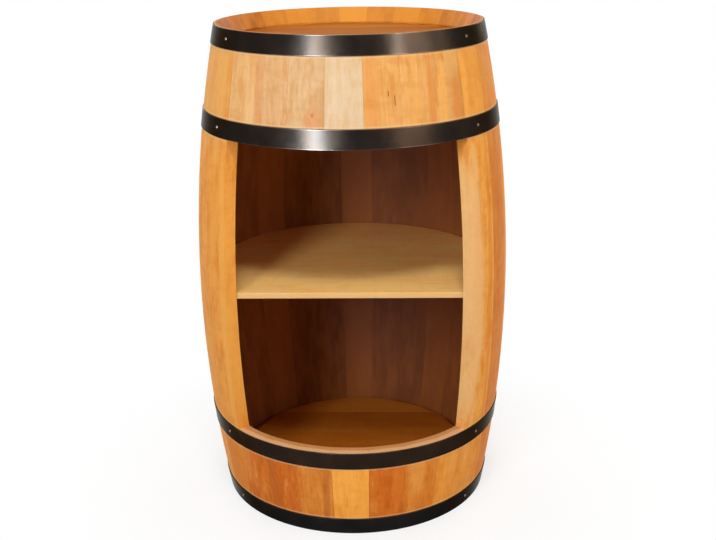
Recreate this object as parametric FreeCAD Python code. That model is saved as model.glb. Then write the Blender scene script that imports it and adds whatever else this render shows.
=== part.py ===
import FreeCAD, Part
import math
import os

from FreeCAD import Vector

# A bar cabinet made from a stood-up barrel: bowed staves held by riveted hoops, a head in a
# croze at each end, an opening cut through the front staves, and a shelf on cleats inside.
# Millimetres. The origin is on the floor under the barrel's centre, +Z is up and the opening
# faces -Y. An angle round the barrel is in degrees from the front, positive towards +X.

# ---- Barrel ----
barrel_height = 810.0
belly_diameter = 526.0
top_diameter = 433.0
bottom_diameter = 458.0
stave_count = 26
stave_thickness = 21.0
end_land = 3.0                # flat that is left on a stave's end
croze_lip = 3.0               # full wall between the croze and the taper of the stave's end

# ---- Opening ----
short_stave_count = 7         # front staves that the opening cuts in two
sill_height = 159.0
lintel_height = 648.0

# ---- Hoops ----
hoop_height = 29.0
hoop_thickness = 1.5
hoop_clearance = 0.05         # between the middle of a hoop's width and the staves
end_inset = 0.5               # an end hoop's edge from the stave's end
sill_reveal = 0.6             # how far the sill stands above the hoop below it
lap_length = 60.0             # stretch at the back where a hoop's ends lie over each other
lap_clearance = 0.05
joggle_length = 12.0          # step that lifts the outer end over the inner one

# ---- Rivets and nails of the hoops ----
rivet_spacing = 30.0
rivet_radius = 2.2
rivet_head_radius = 4.5
rivet_head_height = 2.0
head_flat = 0.6               # flat of a rivet's or nail's head, as a share of its radius
nail_radius = 1.1
nail_head_radius = 2.6
nail_head_height = 1.2
nail_depth = 14.0             # nail in the stave
nail_point = 3.0
nailed_staves = (4, 10, -10, -4)    # counted from the front centre, positive towards +X
pin_clearance = 0.05          # round rivets, nails, screws and dowels

# ---- Heads ----
head_thickness = 18.0
head_recess = 27.0            # from a stave's end to the head's outer face
head_board_count = 5
tongue_thickness = 6.0
croze_depth = 5.0
croze_clearance = 0.2
tongue_shoulder = 2.0         # flat of the tongue that shows before the bevel
bevel_run = 16.0
dowel_radius = 4.0
dowel_length = 36.0
dowel_reach = 0.45            # dowel's place, as a share of half the joint's length
dowel_end_room = 0.8

# ---- Shelf ----
shelf_top_height = 397.0
shelf_thickness = 10.0
shelf_front = 158.0           # front edge from the barrel's axis
shelf_clearance = 0.5
shelf_edge_round = 1.5

# ---- Shelf cleats and their screws ----
cleat_length = 64.0
cleat_depth = 18.0
cleat_height = 18.0
cleat_round = 2.0
cleat_clearance = 0.05
cleat_staves = {"right_front": 5, "right_back": 11, "left_back": -11, "left_front": -5}
screw_spacing = 30.0
screw_radius = 1.75
screw_length = 32.0
screw_point = 5.0
screw_head_radius = 3.6
screw_head_height = 2.6

# ---- Worked out from the above ----
origin = Vector(0, 0, 0)
up = Vector(0, 0, 1)
stave_angle = 360.0 / stave_count
side_stave_count = stave_count - short_stave_count
shelf_underside = shelf_top_height - shelf_thickness
taper_depth = head_recess - croze_clearance - croze_lip
bottom_croze = (head_recess - croze_clearance, head_recess + tongue_thickness + croze_clearance)
top_croze = (barrel_height - bottom_croze[1], barrel_height - bottom_croze[0])
bow = Part.Arc(
    Vector(bottom_diameter / 2, 0, 0),
    Vector(belly_diameter / 2, 0, barrel_height / 2),
    Vector(top_diameter / 2, 0, barrel_height),
).toShape().Curve
lap_angle = math.degrees(2 * lap_length / belly_diameter)
joggle_angle = math.degrees(2 * joggle_length / belly_diameter)
hoop_edge_gap = hoop_clearance + hoop_height ** 2 / (8 * bow.Radius)    # a hoop is flat, the staves bow
hoop_bottoms = {
    "top_hoop": barrel_height - end_inset - hoop_height,
    "upper_bilge_hoop": lintel_height,
    "lower_bilge_hoop": sill_height - sill_reveal - hoop_height,
    "bottom_hoop": end_inset,
}


# ---- Sections and surfaces of revolution ----
def face_radius(height, depth=0.0):
    """Radius at a height of the bowed surface that lies depth inside the staves' outer face."""
    rise = height - bow.Center.z
    return bow.Center.x + math.sqrt((bow.Radius - depth) ** 2 - rise ** 2)


def on_bow(height, depth=0.0):
    return Vector(face_radius(height, depth), 0, height)


def bowed_edge(depth, start, end):
    """Edge along the bow between two heights."""
    middle = on_bow((start + end) / 2, depth)
    return Part.Arc(on_bow(start, depth), middle, on_bow(end, depth)).toShape()


def straight_edges(*points):
    return [Part.LineSegment(a, b).toShape() for a, b in zip(points, points[1:])]


def turned(edges, start_angle=0.0, sweep_angle=360.0):
    """Solid swept by a closed section round the barrel's axis, from one angle on."""
    solid = Part.Face(Part.Wire(edges)).revolve(origin, up, sweep_angle)
    solid.rotate(origin, up, start_angle - 90)
    return solid


def placed_on_bow(shape, angle, height):
    """Copy of a shape whose +Z points straight out of the staves' outer face at a place."""
    lean = math.asin((height - bow.Center.z) / bow.Radius)
    bearing = math.radians(angle - 90)
    level = Vector(math.cos(bearing), math.sin(bearing), 0)
    outward = level * math.cos(lean) + up * math.sin(lean)
    foot = level * face_radius(height) + up * height
    copy = shape.copy()
    copy.Placement = FreeCAD.Placement(foot, FreeCAD.Rotation(up, outward))
    return copy


# ---- Staves ----
def croze_floor(croze):
    return face_radius(sum(croze) / 2, stave_thickness) + croze_depth


def stave_section(low, high):
    """Section of a stave between two heights, with the tapered ends and crozes in its reach."""
    at_top = high == barrel_height
    at_bottom = low == 0
    inner_high = high - taper_depth if at_top else high
    inner_low = low + taper_depth if at_bottom else low
    edges = [bowed_edge(0, low, high)]

    end = [on_bow(high)]
    if at_top:
        end.append(on_bow(high) - Vector(end_land, 0, 0))
    edges += straight_edges(*end, on_bow(inner_high, stave_thickness))

    height = inner_high
    for croze in (top_croze, bottom_croze):
        if low < croze[0] and croze[1] < high:
            floor = croze_floor(croze)
            edges.append(bowed_edge(stave_thickness, height, croze[1]))
            edges += straight_edges(
                on_bow(croze[1], stave_thickness),
                Vector(floor, 0, croze[1]),
                Vector(floor, 0, croze[0]),
                on_bow(croze[0], stave_thickness),
            )
            height = croze[0]
    edges.append(bowed_edge(stave_thickness, height, inner_low))

    end = [on_bow(inner_low, stave_thickness)]
    if at_bottom:
        end.append(on_bow(low) - Vector(end_land, 0, 0))
    return edges + straight_edges(*end, on_bow(low))


def stave(place, low, high):
    """Stave between two heights, at a place counted in staves from the front centre."""
    return turned(stave_section(low, high), (place - 0.5) * stave_angle, stave_angle)


def short_staves():
    """The front staves' lower and upper lengths, numbered from left to right."""
    nodes = {}
    for index in range(short_stave_count):
        place = index - (short_stave_count - 1) / 2
        nodes[f"lower_front_stave_{index + 1}"] = stave(place, 0, sill_height)
        nodes[f"upper_front_stave_{index + 1}"] = stave(place, lintel_height, barrel_height)
    return nodes


def side_staves(fixings):
    """The whole staves, numbered from the opening's right edge round the back to its left."""
    nodes = {}
    first = (short_stave_count + 1) / 2
    for index in range(side_stave_count):
        place = first + index
        shape = stave(place, 0, barrel_height)
        holes = [hole for at, hole in fixings if at % stave_count == place]
        nodes[f"stave_{index + 1:02d}"] = shape.cut(holes) if holes else shape
    return nodes


# ---- Hoops ----
def hoop_section(bottom, layer):
    """Section of a hoop's flat strip: layer 0 lies on the staves and layer 1 over the strip."""
    inside = -hoop_edge_gap - layer * (hoop_thickness + lap_clearance)
    outside = inside - hoop_thickness
    top = bottom + hoop_height
    corners = [on_bow(bottom, inside), on_bow(top, inside), on_bow(top, outside), on_bow(bottom, outside)]
    return straight_edges(*corners, corners[0])


def hoop(bottom):
    """Strip bent round the barrel, its outer end stepped up to lie over its inner end."""
    lap_start = 180 - lap_angle / 2
    strip = turned(hoop_section(bottom, 0), lap_start, 360 - joggle_angle)
    lap = turned(hoop_section(bottom, 1), lap_start, lap_angle)
    ends = []
    for layer, angle in ((0, lap_start - joggle_angle), (1, lap_start)):
        wire = Part.Wire(hoop_section(bottom, layer))
        wire.rotate(origin, up, angle - 90)
        ends.append(wire)
    joggle = Part.makeLoft(ends, True, True)
    return strip.fuse([joggle, lap]).removeSplitter()


def headed_pin(foot, shoulder, radius, head_radius, head_height, point):
    """Pin along +Z from its foot to its shoulder, under a bevelled head; point is its tip's length."""
    crown = shoulder + head_height
    outline = [
        up * crown,
        up * foot,
        Vector(radius, 0, foot + point),
        Vector(radius, 0, shoulder),
        Vector(head_radius, 0, shoulder),
        Vector(head_radius * head_flat, 0, crown),
        up * crown,
    ]
    return Part.Face(Part.Wire(straight_edges(*outline))).revolve(origin, up, 360)


def rivet():
    """Rivet through a hoop's lap, its foot flush with the strip's inner face."""
    shoulder = hoop_edge_gap + 2 * hoop_thickness + lap_clearance
    return headed_pin(hoop_edge_gap, shoulder, rivet_radius, rivet_head_radius, rivet_head_height, 0)


def nail():
    """Nail through a hoop into a stave."""
    shoulder = hoop_edge_gap + hoop_thickness
    return headed_pin(-nail_depth, shoulder, nail_radius, nail_head_radius, nail_head_height, nail_point)


def hoops_and_fixings():
    """Hoops with their holes, rivets, nails, and each nail's hole by the stave it enters."""
    rivet_angle = math.degrees(rivet_spacing / belly_diameter)
    hoops, rivets, nails, nail_holes = {}, [], [], []
    for name, bottom in hoop_bottoms.items():
        middle = bottom + hoop_height / 2
        holes = []
        for angle in (180 - rivet_angle, 180 + rivet_angle):
            rivets.append(placed_on_bow(rivet(), angle, middle))
            bore = Part.makeCylinder(rivet_radius + pin_clearance, 3 * hoop_thickness)
            holes.append(placed_on_bow(bore, angle, middle))
        for place in nailed_staves:
            nails.append(placed_on_bow(nail(), place * stave_angle, middle))
            hole_depth = nail_depth + pin_clearance
            bore = Part.makeCylinder(nail_radius + pin_clearance, 2 * hole_depth, up * -hole_depth)
            hole = placed_on_bow(bore, place * stave_angle, middle)
            nail_holes.append((place, hole))
            holes.append(hole)
        hoops[name] = hoop(bottom).cut(holes)
    return hoops, rivets, nails, nail_holes


# ---- Heads ----
def head_disc(outer_face, inward, croze):
    """A head before it is sawn into boards: flat outside, bevelled inside down to its tongue."""
    rim = croze_floor(croze) - croze_clearance
    shoulder = rim - croze_depth - tongue_shoulder
    tongue_face = outer_face + inward * tongue_thickness
    inner_face = outer_face + inward * head_thickness
    outline = straight_edges(
        Vector(0, 0, outer_face),
        Vector(rim, 0, outer_face),
        Vector(rim, 0, tongue_face),
        Vector(shoulder, 0, tongue_face),
        Vector(shoulder - bevel_run, 0, inner_face),
        Vector(0, 0, inner_face),
        Vector(0, 0, outer_face),
    )
    return turned(outline), rim


def head(name, outer_face, inward, croze):
    """Boards of one head, running from left to right, and the dowels between them."""
    disc, rim = head_disc(outer_face, inward, croze)
    middle = outer_face + inward * head_thickness / 2
    board_width = 2 * rim / head_board_count
    joints = [board_width * index - rim for index in range(1, head_board_count)]
    dowels, holes = [], []
    for joint in joints:
        reach = dowel_reach * math.sqrt(rim ** 2 - joint ** 2)
        for x in (-reach, reach):
            start = Vector(x, joint - dowel_length / 2, middle)
            dowels.append(Part.makeCylinder(dowel_radius, dowel_length, start, Vector(0, 1, 0)))
            start -= Vector(0, dowel_end_room, 0)
            hole_length = dowel_length + 2 * dowel_end_room
            hole_radius = dowel_radius + pin_clearance
            holes.append(Part.makeCylinder(hole_radius, hole_length, start, Vector(0, 1, 0)))
    drilled = disc.cut(holes)
    boards = {}
    lowest = middle - head_thickness / 2
    for index in range(head_board_count):
        corner = Vector(-rim, board_width * index - rim, lowest)
        slice_box = Part.makeBox(2 * rim, board_width, head_thickness, corner)
        boards[f"{name}_board_{index + 1}"] = drilled.common(slice_box)
    return boards, dowels


# ---- Shelf ----
def room(low, high, gap):
    """The barrel's inside between two heights, a gap short of the staves."""
    depth = stave_thickness + gap
    return turned([
        bowed_edge(depth, low, high),
        *straight_edges(on_bow(high, depth), up * high, up * low, on_bow(low, depth)),
    ])


def shelf():
    """Board with a straight front edge, its other edges cut to the round of the staves."""
    radius = min(face_radius(height, stave_thickness) for height in (shelf_underside, shelf_top_height))
    radius -= shelf_clearance
    corner = Vector(-radius, -shelf_front, shelf_underside)
    blank = Part.makeBox(2 * radius, shelf_front + radius, shelf_thickness, corner)
    front_edges = [
        edge for edge in blank.Edges
        if math.isclose(edge.CenterOfMass.y, -shelf_front) and edge.BoundBox.XLength > radius
    ]
    blank = blank.makeFillet(shelf_edge_round, front_edges)
    return blank.common(Part.makeCylinder(radius, shelf_thickness, up * shelf_underside))


def screw(grow, point):
    """Countersunk screw along +X, its head's face at x = 0; it is blunt where point is 0."""
    radius = screw_radius + grow
    outline = [
        origin,
        Vector(0, 0, screw_head_radius + grow),
        Vector(screw_head_height, 0, radius),
        Vector(screw_length - point + grow, 0, radius),
        Vector(screw_length + grow, 0, 0),
        origin,
    ]
    return Part.Face(Part.Wire(straight_edges(*outline))).revolve(origin, Vector(1, 0, 0), 360)


def cleats():
    """Blocks under the shelf, their screws, and each screw's hole by the stave it enters."""
    nodes, screws, stave_holes = {}, [], []
    bottom = shelf_underside - cleat_height
    inner_face = face_radius(bottom, stave_thickness) - cleat_depth
    inside = room(bottom, shelf_underside, cleat_clearance)
    corner = Vector(inner_face, -cleat_length / 2, bottom)
    block = Part.makeBox(2 * cleat_depth, cleat_length, cleat_height, corner)
    lower_arris = [
        edge for edge in block.Edges
        if math.isclose(edge.CenterOfMass.z, bottom) and math.isclose(edge.CenterOfMass.x, inner_face)
    ]
    block = block.makeFillet(cleat_round, lower_arris).common(inside)
    for side, place in cleat_staves.items():
        angle = place * stave_angle
        cleat, holes = block.copy(), []
        cleat.rotate(origin, up, angle - 90)
        for y in (-screw_spacing / 2, screw_spacing / 2):
            for shape, group in ((screw(0, screw_point), screws), (screw(pin_clearance, 0), holes)):
                shape.translate(Vector(inner_face, y, bottom + cleat_height / 2))
                shape.rotate(origin, up, angle - 90)
                group.append(shape)
        nodes[f"shelf_cleat_{side}"] = cleat.cut(holes)
        stave_holes += [(place, hole) for hole in holes]
    return nodes, screws, stave_holes


# ---- Assembly ----
hoop_nodes, hoop_rivets, hoop_nails, nail_bores = hoops_and_fixings()
cleat_nodes, cleat_screws, screw_bores = cleats()
bottom_boards, bottom_dowels = head("bottom_head", head_recess, 1, bottom_croze)
top_boards, top_dowels = head("top_head", barrel_height - head_recess, -1, top_croze)

parts = {
    **short_staves(),
    **side_staves(nail_bores + screw_bores),
    **hoop_nodes,
    "hoop_rivets": Part.makeCompound(hoop_rivets),
    "hoop_nails": Part.makeCompound(hoop_nails),
    **bottom_boards,
    **top_boards,
    "head_dowels": Part.makeCompound(bottom_dowels + top_dowels),
    "shelf": shelf(),
    **cleat_nodes,
    "shelf_cleat_screws": Part.makeCompound(cleat_screws),
}

os.makedirs("parts", exist_ok=True)
for node_name, node_shape in parts.items():
    node_shape.exportStep(f"parts/{node_name}.step")
    print(node_name, len(node_shape.Solids), round(node_shape.Volume), node_shape.isValid())
print(len(parts), "nodes")
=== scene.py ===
import math

import bpy
from mathutils import Matrix, Quaternion, Vector


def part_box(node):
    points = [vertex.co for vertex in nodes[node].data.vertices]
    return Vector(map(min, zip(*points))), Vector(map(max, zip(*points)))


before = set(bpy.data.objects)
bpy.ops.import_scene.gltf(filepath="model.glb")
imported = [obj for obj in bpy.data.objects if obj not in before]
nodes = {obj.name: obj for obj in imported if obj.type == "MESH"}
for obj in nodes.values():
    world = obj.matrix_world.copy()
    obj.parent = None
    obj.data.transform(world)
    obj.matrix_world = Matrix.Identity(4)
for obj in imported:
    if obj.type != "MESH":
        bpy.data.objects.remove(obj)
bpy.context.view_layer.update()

# ---------------------------------------------------------------- measures, metres
STAVE_COUNT = 26
STAVE_STEP = math.radians(360.0 / STAVE_COUNT)
BELLY_RADIUS = 0.263
BELLY_Z = 0.412
# A stave curves inwards by this much times the square of the height from the belly.
BOW = 0.27
HEAD_TOP_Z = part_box("top_head_board_3")[1].z
HOOPS = ("bottom_hoop", "lower_bilge_hoop", "upper_bilge_hoop", "top_hoop")
HOOP_EDGES = [(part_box(n)[0].z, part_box(n)[1].z) for n in HOOPS]
RING_SPACING = 0.0085
X_AXIS = (1.0, 0.0, 0.0)
Y_AXIS = (0.0, 1.0, 0.0)
Z_AXIS = (0.0, 0.0, 1.0)


# ---------------------------------------------------------------- colours
def linear(r, g, b):
    """An sRGB colour of 0 to 255 as Blender's linear one."""
    def channel(c):
        c = c / 255.0
        return c / 12.92 if c <= 0.04045 else ((c + 0.055) / 1.055) ** 2.4
    return (channel(r), channel(g), channel(b), 1.0)


def scaled(color, red, green, blue):
    """A colour with its channels multiplied, none of them above 1."""
    return (min(1.0, color[0] * red), min(1.0, color[1] * green), min(1.0, color[2] * blue), 1.0)


WOOD_TONES = {
    "cream": linear(212, 181, 140),
    "tan": linear(208, 166, 114),
    "pale": linear(210, 162, 109),
    "golden": linear(219, 161, 90),
    "sun": linear(246, 168, 70),
    "honey": linear(219, 166, 104),
    "amber": linear(229, 152, 62),
    "orange": linear(216, 132, 50),
    "russet": linear(206, 110, 32),
    "jamb": linear(236, 164, 70),
    "warm": linear(232, 165, 86),
    "straw": linear(230, 172, 100),
    # Painted light: the shelf's tone is lighter than its wood, for light on its top.
    "shelf": linear(255, 195, 112),
    # Painted shade and light on the heads: darker boards at the front, lighter and golden ones at the back.
    "head": linear(168, 92, 23),
    "head_front_shade": linear(160, 86, 22),
    "head_lit": linear(174, 98, 25),
    "head_back_lit": linear(194, 118, 38),
}
END_GRAIN = linear(204, 142, 86)
SAP_STREAK = linear(176, 94, 36)
KNOT = linear(150, 74, 36)
CRACK = linear(66, 32, 16)
# Painted shade in the corner beside each hoop's edge.
HOOP_CORNER_SHADE = linear(96, 50, 22)
WORN = linear(238, 200, 150)
# Painted shade: the colours of the compartments' walls below the top head, darker than the wood for the
# shade inside the barrel.
WALL_PAINTED_SHADE_PALE = linear(160, 90, 40)
WALL_PAINTED_SHADE_DEEP = linear(116, 61, 27)
RED_BROWN = linear(176, 90, 32)
ORANGE = linear(214, 120, 42)
# A pale tone; on the right jamb it is painted light.
PALE_TONE_AND_LIGHT = linear(234, 194, 142)
FOOT = linear(206, 113, 20)
SUNNY = linear(236, 172, 86)
LEFT_TOP = linear(228, 176, 108)
RIGHT_TOP = linear(236, 168, 80)
LEFT_EDGE = linear(236, 168, 78)
# The tray's wall above the top head: its own tone, and a darker colour that is partly the wood's deeper
# tone and partly painted shade.
TRAY_LIGHT = linear(230, 155, 62)
TRAY_DARK_TONE_AND_SHADE = linear(164, 82, 22)
# Painted shade on the shelf's front and back edges, darker than its lightened tone.
SHELF_EDGE_SHADE = linear(212, 170, 118)


# ---------------------------------------------------------------- node graphs
class Graph:
    """Short calls for building a node tree."""

    def __init__(self, tree, output):
        self.tree = tree
        self.tree.nodes.clear()
        self.output = self.node(output)

    def feed(self, socket, value):
        if isinstance(value, bpy.types.NodeSocket):
            self.tree.links.new(value, socket)
        elif value is not None:
            socket.default_value = value

    def node(self, kind, **settings):
        made = self.tree.nodes.new("ShaderNode" + kind)
        for key, value in settings.items():
            setattr(made, key, value)
        return made

    def math(self, operation, a, b=None, c=None):
        made = self.node("Math", operation=operation)
        for socket, value in zip(made.inputs, (a, b, c)):
            self.feed(socket, value)
        return made.outputs[0]

    def plus(self, a, b):
        return self.math("ADD", a, b)

    def minus(self, a, b):
        return self.math("SUBTRACT", a, b)

    def times(self, a, b):
        return self.math("MULTIPLY", a, b)

    def most(self, a, b):
        return self.math("MAXIMUM", a, b)

    def size(self, a):
        return self.math("ABSOLUTE", a)

    def squares(self, a, b):
        """The sum of the squares of a and b."""
        return self.plus(self.times(a, a), self.times(b, b))

    def vector(self, operation, a, b=None):
        made = self.node("VectorMath", operation=operation)
        self.feed(made.inputs[0], a)
        self.feed(made.inputs[1], b)
        return made.outputs["Value"]

    def dot(self, a, b):
        return self.vector("DOT_PRODUCT", a, b)

    def combine(self, x, y, z):
        made = self.node("CombineXYZ")
        for socket, value in zip(made.inputs, (x, y, z)):
            self.feed(socket, value)
        return made.outputs[0]

    def noise(self, vector, detail=3.0, rough=0.55, scale=1.0):
        made = self.node("TexNoise")
        self.feed(made.inputs["Vector"], vector)
        made.inputs["Scale"].default_value = scale
        made.inputs["Detail"].default_value = detail
        made.inputs["Roughness"].default_value = rough
        return made.outputs["Fac"]

    def span(self, value, low, high, to_low=0.0, to_high=1.0):
        """value from low..high to to_low..to_high, smooth and clamped."""
        made = self.node("MapRange", interpolation_type="SMOOTHSTEP")
        for socket, number in zip(made.inputs, (value, low, high, to_low, to_high)):
            self.feed(socket, number)
        return made.outputs[0]

    def mix(self, factor, a, b):
        made = self.node("Mix", data_type="RGBA")
        self.feed(made.inputs[0], factor)
        self.feed(made.inputs[6], a)
        self.feed(made.inputs[7], b)
        return made.outputs[2]

    def lay(self, under, mask, strength, color):
        """color laid over what is under it, by a mask and a strength."""
        return self.mix(self.times(mask, strength), under, color)

    def stain(self, under, value, start, full, strength, color):
        """color laid over what is under it, from none where value is start to strength at full."""
        return self.mix(self.span(value, start, full, 0.0, strength), under, color)

    def bump(self, height, strength, distance):
        made = self.node("Bump")
        made.inputs["Strength"].default_value = strength
        made.inputs["Distance"].default_value = distance
        self.feed(made.inputs["Height"], height)
        return made.outputs[0]

    def shader(self, color, roughness, normal, **uniform):
        made = self.node("BsdfPrincipled")
        self.feed(made.inputs["Base Color"], color)
        self.feed(made.inputs["Roughness"], roughness)
        self.feed(made.inputs["Normal"], normal)
        for key, value in uniform.items():
            made.inputs[key.replace("_", " ")].default_value = value
        self.feed(self.output.inputs["Surface"], made.outputs[0])

    def seen(self):
        """1 for what the camera sees, also in a mirror or through glass, and 0 for lighting."""
        path = self.node("LightPath").outputs
        return self.most(path["Is Camera Ray"],
                         self.most(path["Is Glossy Ray"], path["Is Transmission Ray"]))


def fresh(name):
    material = bpy.data.materials.new(name)
    material.use_nodes = True
    return material, Graph(material.node_tree, "OutputMaterial")


# ---------------------------------------------------------------- wood
# Noises in the wood: features per metre across, through and along the grain, then the noise's
# detail and roughness, and an offset that keeps one noise from repeating another.
FIELDS = {
    "broad": (26.0, 10.0, 2.4, 3.0, 0.55, 7.7),
    "mottle": (46.0, 30.0, 13.0, 5.0, 0.62, 1.9),
    "streak": (120.0, 60.0, 4.6, 3.0, 0.6, 5.3),
    "fibre": (620.0, 620.0, 26.0, 3.0, 0.65, 0.0),
    "pores": (1300.0, 1300.0, 80.0, 1.0, 0.55, 0.0),
    "dashes": (430.0, 300.0, 38.0, 2.0, 0.5, 9.1),
    "curl": (24.0, 30.0, 85.0, 2.0, 0.5, 6.4),
    "flecks": (120.0, 110.0, 300.0, 2.0, 0.55, 4.1),
    "blotch": (105.0, 70.0, 28.0, 5.0, 0.65, 3.7),
}
# How far a board's seed moves it through the noises, so that no two boards are alike.
SEED_ALONG = 1.37
SEED_THROUGH = 3.3
SEED_WANDER = 3.1
SEED_TAPER = 2.3
# The grain's slow wander: turns per metre across and along, and its reach in metres.
WANDER_ACROSS = 9.0
WANDER_ALONG = 2.6
WANDER_REACH = 0.024
# A knot's width divided by its length along the grain.
KNOT_FLATNESS = 0.7
# Where the cosine to a direction starts to count as facing it, and where it fully does.
FACING = (0.55, 0.85)
# How much the fibres, the end grain and the compartments' walls add to the roughness.
FIBRE_DULLS = 0.16
END_DULLS = 0.22
INSIDE_DULLS = 0.2


class Grain:
    """A point's place in its board, and noises stretched along the board's grain.

    u runs across the face, w out through it and v along the grain, in metres. knots are
    (across, along, radius)."""

    def __init__(self, g, axes, seed, knots, bowed):
        place = g.node("TexCoord").outputs["Object"]
        self.g = g
        self.seed = seed
        self.u, self.w, self.v = [g.dot(place, axis) for axis in axes]
        if bowed:
            self.follow_bow()
        self.shift = g.plus(self.v, seed * SEED_ALONG)
        pull, self.knot_mask = self.round_knots(knots)
        self.grain_u = g.plus(g.plus(self.u, self.wander()), pull)
        self.made = {}

    def follow_bow(self):
        """A stave narrows to its ends and follows the bow, and so does its grain."""
        g = self.g
        self.u = g.times(g.math("DIVIDE", self.u, self.w), BELLY_RADIUS)
        rise = g.minus(self.v, BELLY_Z)
        bow = g.times(g.times(rise, rise), BOW)
        self.w = g.plus(g.minus(self.w, BELLY_RADIUS), bow)

    def wander(self):
        g = self.g
        noise = g.noise(g.combine(g.times(self.u, WANDER_ACROSS), self.seed * SEED_WANDER,
                                  g.times(self.shift, WANDER_ALONG)), 2.0)
        return g.times(g.minus(noise, 0.5), WANDER_REACH)

    def round_knots(self, knots):
        """How far the knots push the grain aside, and a mask of the knots themselves."""
        g = self.g
        pull, mask = 0.0, 0.0
        for knot_u, knot_v, radius in knots:
            across = g.minus(self.u, knot_u)
            along = g.times(g.minus(self.v, knot_v), KNOT_FLATNESS)
            far = g.math("SQRT", g.squares(across, along))
            mask = g.most(mask, g.span(far, radius * 1.5, radius * 0.2))
            pull = g.plus(pull, g.span(far, radius * 5.0, radius * 0.6, 0.0, radius * 1.6))
        return pull, mask

    def field(self, name):
        """One of the noises in FIELDS, made once for each board."""
        if name not in self.made:
            g = self.g
            across, through, along, detail, rough, offset = FIELDS[name]
            layer = g.math("MULTIPLY_ADD", self.w, through, self.seed * SEED_THROUGH + offset)
            self.made[name] = g.noise(g.combine(g.times(self.grain_u, across), layer,
                                                g.times(self.shift, along)), detail, rough)
        return self.made[name]

    def rings(self, heart_across, heart_behind):
        """A mask of the late wood in the growth rings round the tree's heart."""
        g = self.g
        radius = g.math("SQRT", g.squares(g.minus(self.grain_u, heart_across),
                                          g.plus(self.w, heart_behind)))
        trunk_taper = 0.014 + 0.012 * math.sin(self.seed * SEED_TAPER)
        radius = g.plus(radius, g.times(self.v, trunk_taper))
        uneven = g.noise(g.combine(g.times(radius, 70.0), self.seed, g.times(self.shift, 1.6)))
        turns = g.math("MULTIPLY_ADD", radius, 2.0 * math.pi / RING_SPACING, g.times(uneven, 9.0))
        late_wood = g.span(g.math("SINE", turns), -0.4, 1.0)
        return g.times(late_wood, g.span(uneven, 0.35, 0.70, 0.15, 1.0))


def sawn_face(grain, base, rings, pores, patches, *, streaks, contrast, figure):
    """The colour of a board's faces, from its broadest marks to its finest."""
    g = grain.g
    deep = scaled(base, 0.74, 0.60, 0.45)
    ruddy = scaled(base, 0.92, 0.77, 0.55)
    light = scaled(base, 1.07, 1.14, 1.30)
    # Each stain: its noise, where it starts and is full, its strength and its colour.
    stains = [("mottle", 0.48, 0.66, 0.85 * contrast, ruddy),
              ("mottle", 0.48, 0.32, 0.60, light),
              ("curl", 0.50, 0.68, 0.34 * contrast, ruddy),
              ("curl", 0.50, 0.32, 0.30 * contrast, light)]
    if figure > 0.0:
        stains += [("blotch", 0.50, 0.66, figure, deep),
                   ("blotch", 0.46, 0.34, 0.6 * figure, SUNNY)]
    # Each mark: its noise, where its mask starts and is full, its strength and its colour.
    marks = [("dashes", 0.60, 0.74, 0.36 * contrast, deep),
             ("fibre", 0.40, 0.72, 0.15 * contrast, deep),
             ("streak", 0.54, 0.76, streaks, SAP_STREAK)]
    color = g.mix(g.span(grain.field("broad"), 0.35, 0.68), light, base)
    for name, start, full, strength, tint in stains:
        color = g.stain(color, grain.field(name), start, full, strength, tint)
    color = g.lay(color, rings, 0.13 * contrast, deep)
    for name, start, full, strength, tint in marks:
        color = g.lay(color, g.span(grain.field(name), start, full), strength, tint)
    color = with_patches(grain, color, patches)
    color = g.lay(color, g.span(grain.field("flecks"), 0.58, 0.74), 0.13, light)
    return g.lay(color, pores, 0.22, deep)


def with_patches(grain, color, patches):
    """Soft oval patches of other colours, their edges broken up by the mottle."""
    g = grain.g
    for at_u, at_v, half_u, half_v, tint, strength in patches:
        across = g.math("DIVIDE", g.minus(grain.grain_u, at_u), half_u)
        along = g.math("DIVIDE", g.minus(grain.v, at_v), half_v)
        ragged = g.times(g.minus(grain.field("mottle"), 0.5), 2.4)
        color = g.stain(color, g.plus(g.squares(across, along), ragged), 1.5, 0.2, strength, tint)
    return color


def crack_lines(grain, cracks):
    """A mask of short open splits along the grain."""
    g = grain.g
    mask = 0.0
    for at_u, at_v, half in cracks:
        wobble = g.times(g.minus(grain.field("fibre"), 0.5), 0.0006)
        aside = g.size(g.plus(g.minus(grain.u, at_u), wobble))
        away = g.size(g.minus(grain.v, at_v))
        mask = g.most(mask, g.times(g.span(aside, 0.0011, 0.0003), g.span(away, half, half * 0.5)))
    return mask


def end_grain(grain, base, rings):
    """The colour of a sawn end, with its rings and dark specks."""
    g = grain.g
    specks_per_metre = 900.0
    speck = g.noise(g.combine(g.times(grain.u, specks_per_metre), g.times(grain.w, specks_per_metre),
                              grain.seed), 2.0)
    color = g.lay(END_GRAIN, rings, 0.20, scaled(base, 0.55, 0.42, 0.34))
    return g.stain(color, speck, 0.5, 0.7, 0.35, SAP_STREAK)


def hoop_lines(g, height):
    """Masks of the wood just beside the hoops: (rubbed line, painted shade in the corner)."""
    rubbed, dark = 0.0, 0.0
    for low, high in HOOP_EDGES:
        for edge, side in ((low, -1.0), (high, 1.0)):
            away = g.times(g.minus(height, edge), side)
            near = g.times(g.span(away, 0.0006, 0.0014), g.span(away, 0.0048, 0.0022))
            rubbed = g.most(rubbed, near)
            # Painted shade where the hoop's edge meets the stave.
            corner = g.times(g.span(away, -0.0012, 0.0), g.span(away, 0.0016, 0.0004))
            dark = g.most(dark, corner)
    return rubbed, dark


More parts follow.
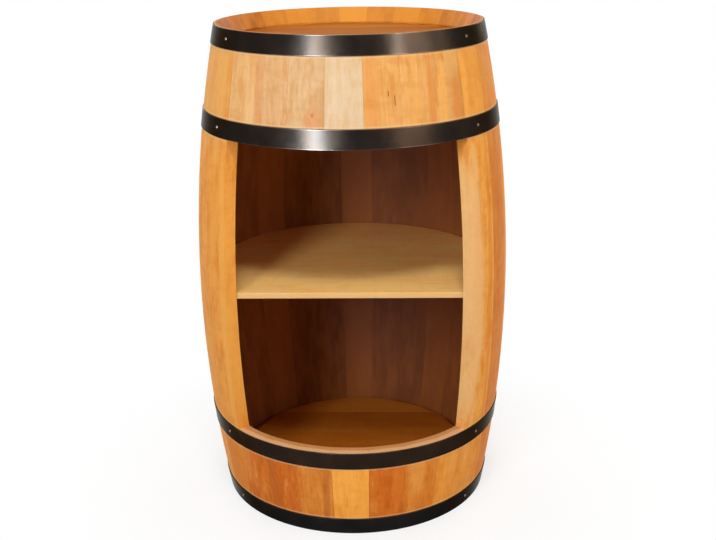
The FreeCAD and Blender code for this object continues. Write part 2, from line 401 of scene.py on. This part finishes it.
def stave_outside(grain, color, outward, end_mask):
    """A stave's worn outer edge on its ends, the rubbed lines beside the hoops and the painted shade in
    their corners.
    """
    g = grain.g
    rubbed, dark = hoop_lines(g, grain.v)
    outside = g.span(outward, 0.2, 0.7)
    outer_edge = g.times(end_mask, g.span(grain.w, -0.0070, -0.0025))
    color = g.lay(color, outer_edge, 0.50, WORN)
    color = g.lay(color, g.times(rubbed, outside), 0.42, WORN)
    # Painted shade in the corner beside each hoop.
    return g.lay(color, g.times(dark, outside), 0.75, HOOP_CORNER_SHADE)


def stave_inside(grain, color, outward, wall_shade_depth, tray_tone_and_shade):
    """A stave's inner wall, and a mask of the part of it that lies below the top head's face.

    Below the head the compartments' walls get a painted shade, darker than the outside. Above it the tray's
    wall gets its own tone, darkened partly by painted shade towards the barrel's left and right."""
    g = grain.g
    mottle = grain.field("mottle")
    inner = g.span(outward, -0.2, -0.7)
    shade = g.times(inner, g.span(grain.v, HEAD_TOP_Z, HEAD_TOP_Z - 0.012))
    # Painted shade on the walls below the head, deeper on some staves than on others.
    wall = g.mix(g.span(mottle, 0.36, 0.62, 0.7 * wall_shade_depth, min(1.0, 1.5 * wall_shade_depth)),
                 WALL_PAINTED_SHADE_PALE, WALL_PAINTED_SHADE_DEEP)
    # The tray's tone, darkened partly by painted shade towards the barrel's sides.
    tray = g.mix(g.span(mottle, 0.34, 0.66, 0.75 * tray_tone_and_shade, min(1.0, 1.3 * tray_tone_and_shade)),
                 TRAY_LIGHT, TRAY_DARK_TONE_AND_SHADE)
    color = g.lay(color, inner, 0.92, tray)
    return g.lay(color, shade, 0.90, wall), shade


def relief(grain, rings, pores, crack_mask):
    """The bump of raised rings and fibres, sunk pores and open cracks."""
    g = grain.g
    height = g.plus(g.times(rings, 0.35), g.times(grain.field("fibre"), 0.5))
    height = g.minus(height, g.times(pores, 0.6))
    height = g.minus(height, g.times(crack_mask, 2.0))
    return g.bump(height, 0.35, 0.0004)


def wood(name, tone, seed, axes, *, heart=(0.05, 0.09), streaks=0.35, contrast=1.0, figure=0.0,
         patches=(), knots=(), cracks=(), wall_shade_depth=None, tray_tone_and_shade=0.5, edge_shade=None,
         roughness=0.54, specular=0.06):
    """Varnished sawn wood; axes point across the board, out of its face and along its grain.

    heart is where the tree's middle lies, across the board and behind its face. patches are
    (across, along, half width, half length, colour, strength); knots are (across, along, radius);
    cracks are (across, along, half length). Only staves have a depth for the wall and one for the
    tray, which say from 0 to 1 how much painted shade darkens their inner wall below the top head,
    and how dark the tray's wall above it is, partly by painted shade and partly by its own tone.
    The edge colour is a darker painted shade on the edges that face across the board."""
    material, g = fresh(name)
    across, out, along = axes
    is_stave = wall_shade_depth is not None
    base = WOOD_TONES[tone]
    grain = Grain(g, axes, seed, knots, bowed=is_stave)
    rings = grain.rings(*heart)
    pores = g.span(grain.field("pores"), 0.63, 0.73)
    crack_mask = crack_lines(grain, cracks)
    color = sawn_face(grain, base, rings, pores, patches,
                      streaks=streaks, contrast=contrast, figure=figure)
    if knots:
        color = g.lay(color, grain.knot_mask, 0.5, KNOT)
    if cracks:
        color = g.lay(color, crack_mask, 0.85, CRACK)

    face = g.node("TexCoord").outputs["Normal"]
    end_mask = g.span(g.size(g.dot(face, along)), *FACING)
    color = g.mix(end_mask, color, end_grain(grain, base, rings))
    dull = g.plus(g.times(grain.field("fibre"), FIBRE_DULLS), g.times(end_mask, END_DULLS))
    # Painted shade on the edges that face across the board.
    if edge_shade is not None:
        color = g.stain(color, g.size(g.dot(face, across)), *FACING, 0.75, edge_shade)
    if is_stave:
        outward = g.dot(face, out)
        # Worn edges, rubbed lines, and painted shade in the corners beside the hoops.
        color = stave_outside(grain, color, outward, end_mask)
        # Painted shade on the compartments' walls, and the tray's tone, which is partly painted shade.
        color, shade = stave_inside(grain, color, outward, wall_shade_depth, tray_tone_and_shade)
        dull = g.plus(dull, g.times(shade, INSIDE_DULLS))
    # The fibres' mean share is taken off again, so that roughness is the face's mean.
    g.shader(color, g.plus(dull, roughness - 0.5 * FIBRE_DULLS), relief(grain, rings, pores, crack_mask),
             Specular_IOR_Level=specular)
    return material


# ---------------------------------------------------------------- the barrel's wood
def round_barrel(place):
    """The across, outward and upward directions of a stave, counted to the right from the front."""
    angle = place * STAVE_STEP
    outward = (math.sin(angle), -math.cos(angle), 0.0)
    across = (math.cos(angle), math.sin(angle), 0.0)
    return across, outward, Z_AXIS


def dress(name, material):
    """Gives all slots of a CAD node one material and leaves its mesh as it is."""
    for slot in nodes[name].material_slots:
        slot.link = "OBJECT"
        slot.material = material


UPPER = [
    ("honey", {"streaks": 0.20, "figure": 0.22, "patches": [(0.016, 0.725, 0.016, 0.07, PALE_TONE_AND_LIGHT, 0.35)]}),
    ("pale", {"streaks": 0.20, "figure": 0.22, "patches": [(-0.022, 0.715, 0.010, 0.08, ORANGE, 0.25)]}),
    ("tan", {"streaks": 0.10, "figure": 0.15, "patches": [(0.014, 0.684, 0.016, 0.026, ORANGE, 0.40)],
             "knots": [(0.012, 0.697, 0.0026)]}),
    ("cream", {"streaks": 0.03, "contrast": 0.6}),
    ("golden", {"streaks": 0.15, "figure": 0.15, "patches": [(-0.020, 0.720, 0.012, 0.09, ORANGE, 0.30)],
                "contrast": 1.2, "cracks": [(0.010, 0.726, 0.005), (0.021, 0.716, 0.010)]}),
    ("golden", {"streaks": 0.20, "contrast": 1.2, "figure": 0.12,
                "patches": [(-0.010, 0.715, 0.012, 0.06, SUNNY, 0.25),
                            (0.024, 0.700, 0.008, 0.09, ORANGE, 0.5)]}),
    ("golden", {"streaks": 0.20, "contrast": 1.3, "figure": 0.12,
                "patches": [(-0.020, 0.710, 0.010, 0.08, SUNNY, 0.5),
                            (0.014, 0.690, 0.012, 0.05, ORANGE, 0.45)]}),
]
LOWER = [
    ("russet", {"streaks": 0.40, "figure": 0.65, "patches": [(-0.020, 0.115, 0.012, 0.06, SUNNY, 0.25)]}),
    ("russet", {"streaks": 0.45, "figure": 0.6, "patches": [(-0.018, 0.070, 0.012, 0.07, RED_BROWN, 0.5)]}),
    ("orange", {"streaks": 0.35, "figure": 0.55, "patches": [(0.022, 0.075, 0.008, 0.10, RED_BROWN, 0.5)]}),
    ("sun", {"streaks": 0.1, "contrast": 0.8, "figure": 0.15}),
    ("russet", {"streaks": 0.35, "figure": 0.45, "patches": [(0.020, 0.090, 0.014, 0.05, ORANGE, 0.6)]}),
    ("orange", {"streaks": 0.22, "figure": 0.40, "patches": [(-0.010, 0.110, 0.016, 0.05, SUNNY, 0.35)]}),
    ("amber", {"streaks": 0.18, "figure": 0.2, "patches": [(0.004, 0.110, 0.014, 0.05, SUNNY, 0.45)]}),
]
# Counted from the front: the middle one of the seven cut staves is 0, the first whole one is 4.
MIDDLE_FRONT = 3
FIRST_WHOLE = 4
for row, looks, prefix in ((3.0, UPPER, "upper_front_stave_"), (11.0, LOWER, "lower_front_stave_")):
    for number, (tone, look) in enumerate(looks):
        name = f"{prefix}{number + 1}"
        heart = (0.05 * math.sin(row + number * 2.1), 0.05 + 0.04 * math.cos(number * 1.7 + row))
        # The cut staves' inner walls get a middling painted shade.
        dress(name, wood(name, tone, row + number * 1.93, round_barrel(number - MIDDLE_FRONT),
                         heart=heart, wall_shade_depth=0.5, **look))

# From the right of the opening round the back to its left.
WHOLE = ["jamb", "orange", "amber", "warm", "amber", "warm", "amber", "orange", "warm", "amber",
         "straw", "amber", "orange", "warm", "amber", "amber", "warm", "amber", "amber"]
# The four whole staves that are best seen from the front, two on either side of the opening.
SIDE_PATCHES = {
    # Stave 0's pale patch over the right jamb's cut face is painted light.
    0: [(-0.024, 0.40, 0.022, 0.26, PALE_TONE_AND_LIGHT, 0.6), (0.020, 0.35, 0.007, 0.35, ORANGE, 0.4),
        (0.0, 0.06, 0.05, 0.10, FOOT, 0.25), (0.0, 0.74, 0.05, 0.12, RIGHT_TOP, 0.45)],
    1: [(0.0, 0.74, 0.05, 0.12, RIGHT_TOP, 0.4)],
    17: [(0.0, 0.74, 0.05, 0.12, LEFT_TOP, 0.5)],
    18: [(0.024, 0.36, 0.012, 0.26, LEFT_EDGE, 0.65), (0.0, 0.06, 0.05, 0.10, FOOT, 0.7),
         (0.0, 0.74, 0.05, 0.12, LEFT_TOP, 0.5)],
}
for number, tone in enumerate(WHOLE):
    name = f"stave_{number + 1:02d}"
    place = number + FIRST_WHOLE
    heart = (0.06 * math.sin(number * 2.7 + 0.5), 0.06 + 0.04 * math.cos(number * 1.3))
    figure, contrast = (0.28, 1.1) if number in SIDE_PATCHES else (0.12, 0.85)
    # Painted shade: the tray's wall is darkest at the barrel's left and right, where its inner face lies in
    # shade; the sine adds tone that differs from stave to stave.
    sideways = abs(math.sin(place * STAVE_STEP))
    dress(name, wood(name, tone, 20.0 + number * 2.17, round_barrel(place), heart=heart, streaks=0.22,
                     figure=figure, contrast=contrast, patches=SIDE_PATCHES.get(number, ()),
                     # How deep the painted shade on the compartments' walls is, from stave to stave.
                     wall_shade_depth=0.5 + 0.3 * math.sin(1.9 * number + 0.4),
                     tray_tone_and_shade=0.20 + 0.62 * sideways ** 4 + 0.17 * math.sin(2.6 * number)))

# ---------------------------------------------------------------- heads, shelf, cleats, dowels
# From the front board to the back one: painted shade at the front, where the rim shades the top head, and
# painted light at the back; the bottom head has the same tones.
HEAD_TONES_SHADE_TO_LIGHT = ("head_front_shade", "head", "head", "head_lit", "head_back_lit")
LAID_ALONG_X = (Y_AXIS, Z_AXIS, X_AXIS)
LAID_ALONG_Y = (X_AXIS, Z_AXIS, Y_AXIS)
for row, prefix in ((50.0, "bottom_head_board_"), (70.0, "top_head_board_")):
    for number, tone in enumerate(HEAD_TONES_SHADE_TO_LIGHT, 1):
        name = f"{prefix}{number}"
        dress(name, wood(name, tone, row + number * 3.3, LAID_ALONG_X,
                         heart=(0.03 * number - 0.1, 0.05 - HEAD_TOP_Z),
                         streaks=0.45, contrast=0.7, roughness=0.62, specular=0.03))
# The shelf: painted light in its lighter tone, painted shade on its front and back edges.
dress("shelf", wood("shelf", "shelf", 90.0, LAID_ALONG_X, heart=(0.02, -0.30), streaks=0.08,
                    contrast=0.45, roughness=0.50, edge_shade=SHELF_EDGE_SHADE))
CLEATS = {"shelf_cleat_right_front": 5, "shelf_cleat_right_back": 11,
          "shelf_cleat_left_back": -11, "shelf_cleat_left_front": -5}
for number, (name, place) in enumerate(CLEATS.items()):
    across, outward, up = round_barrel(place)
    dress(name, wood(name, "honey", 100.0 + number, (outward, up, across), heart=(0.1, 0.0), streaks=0.3))
dress("head_dowels", wood("head_dowels", "pale", 110.0, LAID_ALONG_Y, heart=(0.2, 0.0), streaks=0.1))

# ---------------------------------------------------------------- steel
STEEL_SPECULAR = 0.5
BLOTCH_DULLS = 0.14
SCRATCH_DULLS = 0.05


def metal(name, color, worn, seed, *, metallic, roughness, grazing, edges=None):
    """Steel with blotches, scratches round the barrel's axis and specks.

    edges are the heights of a hoop's lower and upper rim, which get the worn colour: rubbed paint, and a
    painted highlight along the rim."""
    material, g = fresh(name)
    place = g.node("TexCoord").outputs["Object"]
    x, y, z = [g.dot(place, axis) for axis in (X_AXIS, Y_AXIS, Z_AXIS)]
    turn = g.math("ARCTAN2", y, x)
    blotch = g.noise(place, scale=24.0)
    scratch = g.noise(g.combine(g.times(turn, 5.0), seed, g.times(z, 900.0)), 2.0)
    speck = g.noise(place, 2.0, 0.6, scale=850.0)
    tint = g.stain(color, blotch, 0.3, 0.75, 0.6, scaled(color, 1.8, 1.5, 1.2))
    tint = g.stain(tint, scratch, 0.68, 0.80, 0.10, worn)
    tint = g.stain(tint, speck, 0.70, 0.78, 0.35, worn)
    # The rims: rubbed paint, and a painted highlight along each rim.
    if edges is not None:
        low, high = edges
        rim = g.most(g.span(z, low + 0.0010, low + 0.0002), g.span(z, high - 0.0010, high - 0.0002))
        tint = g.mix(g.times(rim, g.span(blotch, 0.35, 0.6, 0.25, 0.8)), tint, worn)
    dull = g.plus(g.times(blotch, BLOTCH_DULLS), g.times(scratch, SCRATCH_DULLS))
    height = g.plus(g.times(blotch, 0.6), g.times(speck, 0.15))
    # The noises' mean share is taken off again, so that roughness is the mean.
    mean_share = 0.5 * (BLOTCH_DULLS + SCRATCH_DULLS)
    g.shader(tint, g.plus(dull, roughness - mean_share), g.bump(height, 0.25, 0.0008),
             Metallic=metallic, Specular_IOR_Level=STEEL_SPECULAR, Specular_Tint=grazing)
    return material


BLACKENED = (0.50, 0.48, 0.46, 1.0)
BRIGHT = (1.0, 0.96, 0.92, 1.0)
HOOP_TONES = (linear(25, 25, 26), linear(38, 30, 25), linear(33, 28, 25), linear(33, 28, 25))
for number, name in enumerate(HOOPS):
    dress(name, metal(name, HOOP_TONES[number], linear(84, 76, 70), 3.0 * number, metallic=1.0,
                      roughness=0.25, grazing=BLACKENED, edges=HOOP_EDGES[number]))
dress("hoop_rivets", metal("hoop_rivets", linear(34, 27, 22), linear(96, 86, 78), 7.0, metallic=1.0,
                           roughness=0.30, grazing=BLACKENED))
dress("hoop_nails", metal("hoop_nails", linear(82, 75, 68), linear(170, 162, 154), 9.0, metallic=0.9,
                          roughness=0.42, grazing=BRIGHT))
dress("shelf_cleat_screws", metal("shelf_cleat_screws", linear(196, 194, 186), linear(232, 230, 224), 12.0,
                                  metallic=0.9, roughness=0.28, grazing=BRIGHT))

# ---------------------------------------------------------------- eased edges
WELD_DISTANCE = 0.00002
BEVEL_ANGLE = math.radians(32.0)


def edge_softness(name):
    """The width of a piece's eased edges, or None for dowels, nails, rivets and screws."""
    if name in HOOPS:
        return 0.0003
    if "stave" in name or name in CLEATS:
        return 0.0006
    if "head_board" in name or name == "shelf":
        return 0.0008
    return None


def ease_edges(obj, width):
    weld = obj.modifiers.new("weld", "WELD")
    weld.merge_threshold = WELD_DISTANCE
    bevel = obj.modifiers.new("eased_edges", "BEVEL")
    bevel.width = width
    bevel.segments = 2
    bevel.limit_method = "ANGLE"
    bevel.angle_limit = BEVEL_ANGLE
    bevel.harden_normals = False
    normals = obj.modifiers.new("smooth_faces", "WEIGHTED_NORMAL")
    normals.keep_sharp = False


for name, obj in nodes.items():
    softness = edge_softness(name)
    if softness is not None:
        ease_edges(obj, softness)

# ---------------------------------------------------------------- floor, world, lights, camera
FLOOR_REACH = 18.0
FLOOR_SIDES = 96
FLOOR_SEEN = linear(244, 244, 244)
FLOOR_SEEN_MOTTLE = linear(236, 236, 236)
FLOOR_LIGHTING = linear(205, 202, 198)
AMBIENT = 0.20


def stage_material():
    """White where the camera sees it, with the barrel's own shadow near its foot."""
    material, g = fresh("stage_floor")
    seen = g.seen()
    place = g.node("TexCoord").outputs["Object"]
    shadow_share = g.span(g.vector("LENGTH", place), 0.20, 0.62, 0.30, 0.0)
    mottled = g.noise(place, scale=6.0)
    pale = g.stain(FLOOR_SEEN, mottled, 0.3, 0.7, 0.25, FLOOR_SEEN_MOTTLE)
    lit = g.node("BsdfDiffuse")
    g.feed(lit.inputs["Color"], g.mix(seen, FLOOR_LIGHTING, pale))
    white = g.node("Emission")
    mixed = g.node("MixShader")
    g.feed(mixed.inputs[0], g.times(seen, g.minus(1.0, shadow_share)))
    g.feed(mixed.inputs[1], lit.outputs[0])
    g.feed(mixed.inputs[2], white.outputs[0])
    g.feed(g.output.inputs["Surface"], mixed.outputs[0])
    return material


def stage_floor():
    """A wide round floor at the barrel's foot."""
    mesh = bpy.data.meshes.new("stage_floor")
    turns = [2.0 * math.pi * i / FLOOR_SIDES for i in range(FLOOR_SIDES)]
    ring = [(FLOOR_REACH * math.cos(turn), FLOOR_REACH * math.sin(turn), 0.0) for turn in turns]
    mesh.from_pydata(ring, [], [list(range(FLOOR_SIDES))])
    mesh.materials.append(stage_material())
    floor = bpy.data.objects.new("stage_floor", mesh)
    bpy.context.scene.collection.objects.link(floor)
    return floor


def studio_world():
    """White where the camera sees it, and a faint light on the barrel."""
    world = bpy.data.worlds.new("studio")
    world.use_nodes = True
    g = Graph(world.node_tree, "OutputWorld")
    strength = g.node("MapRange")
    g.feed(strength.inputs["Value"], g.seen())
    g.feed(strength.inputs["To Min"], AMBIENT)
    background = g.node("Background")
    g.feed(background.inputs["Color"], (1.0, 1.0, 1.0, 1.0))
    g.feed(background.inputs["Strength"], strength.outputs[0])
    g.feed(g.output.inputs["Surface"], background.outputs[0])
    return world


stage_floor()
bpy.context.scene.world = studio_world()


def softbox(name, azimuth, distance, height, width, tall, watts, color=(1.0, 1.0, 1.0), aim=0.45,
            diffuse=True, glossy=True, lean=0.0):
    """A soft light at an azimuth from the front, positive to the right, in degrees.

    It looks at the height aim on the barrel's axis. lean tips its top to the left, as seen from
    behind it, in degrees. diffuse and glossy say which surfaces it lights."""
    data = bpy.data.lights.new(name, "AREA")
    data.shape = "RECTANGLE"
    data.size, data.size_y = width, tall
    data.energy = watts
    data.color = color
    lamp = bpy.data.objects.new(name, data)
    angle = math.radians(azimuth)
    lamp.location = (distance * math.sin(angle), -distance * math.cos(angle), height)
    lamp.visible_diffuse, lamp.visible_glossy = diffuse, glossy
    turn = (Vector((0.0, 0.0, aim)) - lamp.location).to_track_quat("-Z", "Y")
    lamp.rotation_euler = (turn @ Quaternion(Z_AXIS, math.radians(lean))).to_euler()
    bpy.context.scene.collection.objects.link(lamp)


softbox("key", -22.0, 2.2, 1.40, 0.50, 0.95, 22.5)
softbox("high", 4.0, 1.5, 2.65, 0.6, 0.4, 28.0)
softbox("fill", 46.0, 2.2, 0.88, 1.0, 0.8, 7.5, (1.0, 0.80, 0.60))
softbox("side_left", -80.0, 2.2, 0.80, 0.8, 1.0, 7.0, glossy=False)
softbox("side_right", 78.0, 2.2, 0.80, 0.8, 1.0, 9.5, (1.0, 0.84, 0.66), glossy=False)
softbox("over", 0.0, 0.25, 2.6, 1.2, 1.2, 2.0, aim=0.8)
softbox("back_left", -150.0, 2.4, 1.6, 1.4, 1.2, 24.0)
softbox("back_right", 150.0, 2.4, 1.4, 1.4, 1.2, 24.0)
# Bright strips that only the varnish and the steel mirror.
softbox("strip_left", -22.5, 2.2, 0.79, 0.32, 1.06, 146.0, (0.62, 0.82, 1.0), diffuse=False, lean=20.0)
softbox("strip_right", 40.5, 2.3, 1.36, 0.10, 0.50, 13.0, (0.80, 0.93, 1.0), diffuse=False)
softbox("strip_wide", 51.0, 2.3, 1.36, 1.20, 0.90, 26.0, (1.0, 0.88, 0.72), diffuse=False)
softbox("strip_far", 74.0, 2.3, 1.40, 1.00, 0.90, 11.0, (1.0, 0.88, 0.72), diffuse=False)

LENS = 54.99
SENSOR_WIDTH = 36.0
CAMERA_PLACE = (0.0727, -1.8025, 0.9912)
HEADING, PITCH, ROLL = 2.038, 18.669, -0.906
camera_data = bpy.data.cameras.new("camera")
camera_data.lens = LENS
camera_data.sensor_width = SENSOR_WIDTH
camera = bpy.data.objects.new("camera", camera_data)
camera.matrix_world = (Matrix.Translation(CAMERA_PLACE)
                       @ Matrix.Rotation(math.radians(HEADING), 4, "Z")
                       @ Matrix.Rotation(math.radians(90.0 - PITCH), 4, "X")
                       @ Matrix.Rotation(math.radians(ROLL), 4, "Z"))
bpy.context.scene.collection.objects.link(camera)
bpy.context.scene.camera = camera
bpy.context.scene.view_settings.view_transform = "Standard"
